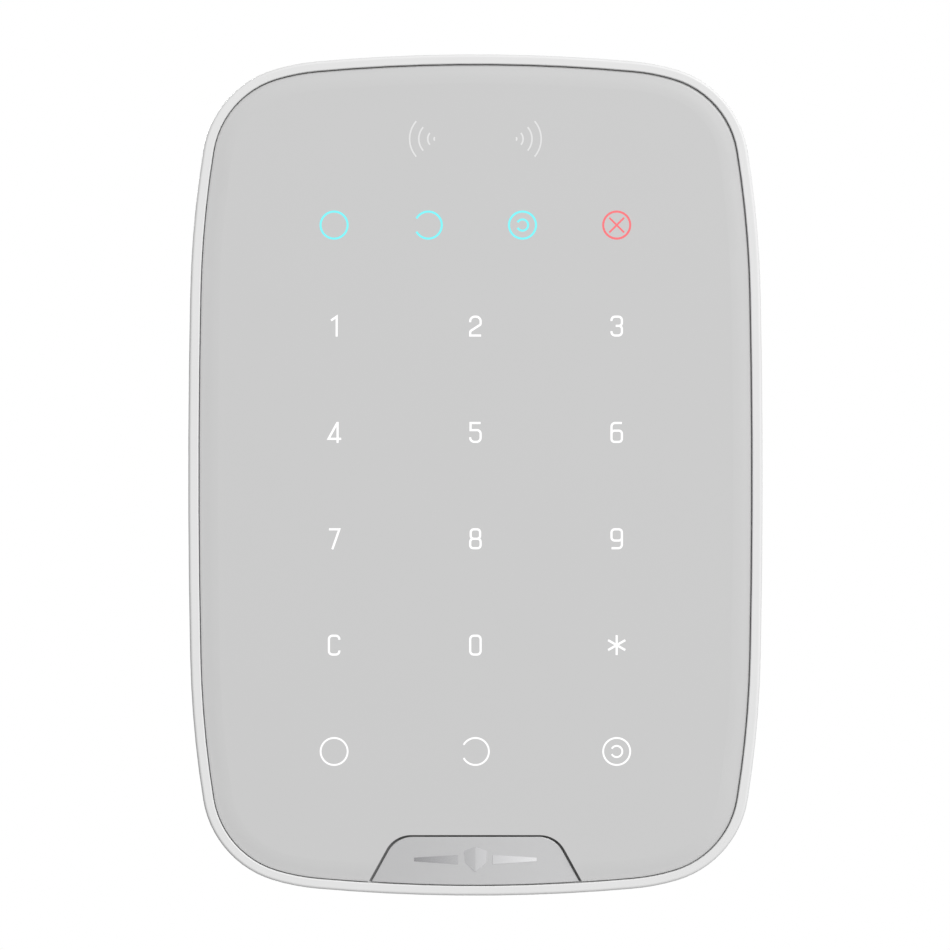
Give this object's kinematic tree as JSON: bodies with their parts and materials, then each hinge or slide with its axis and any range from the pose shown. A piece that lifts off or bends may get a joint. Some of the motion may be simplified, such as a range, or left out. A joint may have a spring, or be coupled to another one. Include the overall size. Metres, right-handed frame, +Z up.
{
  "type": "alarm keypad panel",
  "caption": "Wall-mounted wireless alarm keypad with a rounded white casing, grey touch panel with lit numerals and status rings, and a slide-on wall bracket.",
  "frame": {"origin": "centre of the keypad's outline on the wall face of the bracket", "axes": "+Z up the wall, +X to the right as seen from the front, the keypad stands out from the wall along -Y"},
  "size_m": [0.1126, 0.02, 0.165],
  "materials": {
    "casing": "fine moulded grain",
    "bracket": "fine moulded grain",
    "panel": "satin",
    "badge": "pearl metallic",
    "emblem": "polished",
    "white_mark": "lit from behind",
    "blue_mark": "lit from behind",
    "red_mark": "lit from behind",
    "faint_mark": "satin",
    "seal": "soft",
    "screws": "zinc plated",
    "label": "printed film, blank",
    "adhesive": "foam tape",
    "film": "clear film",
    "board": "solder resist",
    "light_guide": "clear",
    "leds": "clear resin",
    "ferrite": "sintered sheet",
    "copper": "etched copper",
    "chips": "moulded epoxy",
    "tinned": "tinned sheet",
    "buzzer": "moulded",
    "plunger": "acetal",
    "spring": "drawn wire",
    "button": "silicone",
    "tray": "moulded",
    "contacts": "nickel plated",
    "cell": "shrink sleeve"
  },
  "bodies": {
    "bracket": {"mounting_bracket": "bracket"},
    "lock_screw": {"lock_screw": "screws"},
    "tamper_plunger": {"tamper_plunger": "plunger"},
    "power_button": {"power_button": "button"},
    "housing": {"front_housing": "casing", "rear_housing": "casing", "housing_seal": "seal", "housing_screws": "screws", "rear_label": "label", "front_panel": "panel", "panel_adhesive": "adhesive", "electrode_film": "film", "badge_plate": "badge", "badge_emblem": "emblem", "numeral_windows": "white_mark", "function_windows": "white_mark", "status_windows": "blue_mark", "fault_window": "red_mark", "reader_marks": "faint_mark", "touch_board": "board", "board_screws": "screws", "light_guide": "light_guide", "backlight_leds": "leds", "status_leds": "leds", "reader_ferrite": "ferrite", "reader_coil": "copper", "board_chips": "chips", "radio_shield": "tinned", "radio_antennas": "tinned", "buzzer": "buzzer", "tamper_switch": "chips", "tamper_spring": "spring", "power_switch": "chips", "battery_tray_left": "tray", "battery_tray_right": "tray", "battery_plates": "contacts", "battery_springs": "contacts", "battery_cover_left": "casing", "battery_cover_right": "casing", "battery_cover_screws": "screws", "battery_cell_1": "cell", "battery_cell_2": "cell", "battery_cell_3": "cell", "battery_cell_4": "cell"}
  },
  "joints": [
    {"name": "housing_slide", "type": "slide", "parent": "bracket", "child": "housing", "axis": [0, 0, 1], "range_m": [0, 0.009]},
    {"name": "lock_screw_travel", "type": "slide", "parent": "bracket", "child": "lock_screw", "axis": [0, 0, -1], "range_m": [0, 0.008]},
    {"name": "tamper_travel", "type": "slide", "parent": "housing", "child": "tamper_plunger", "axis": [0, 1, 0], "range_m": [0, 0.0009]},
    {"name": "power_press", "type": "slide", "parent": "housing", "child": "power_button", "axis": [0, -1, 0], "range_m": [0, 0.0006], "stiffness_N_per_m": 600}
  ],
  "couplings": [
    {"joint": "tamper_travel", "follows": "housing_slide", "ratio": 0.1}
  ]
}
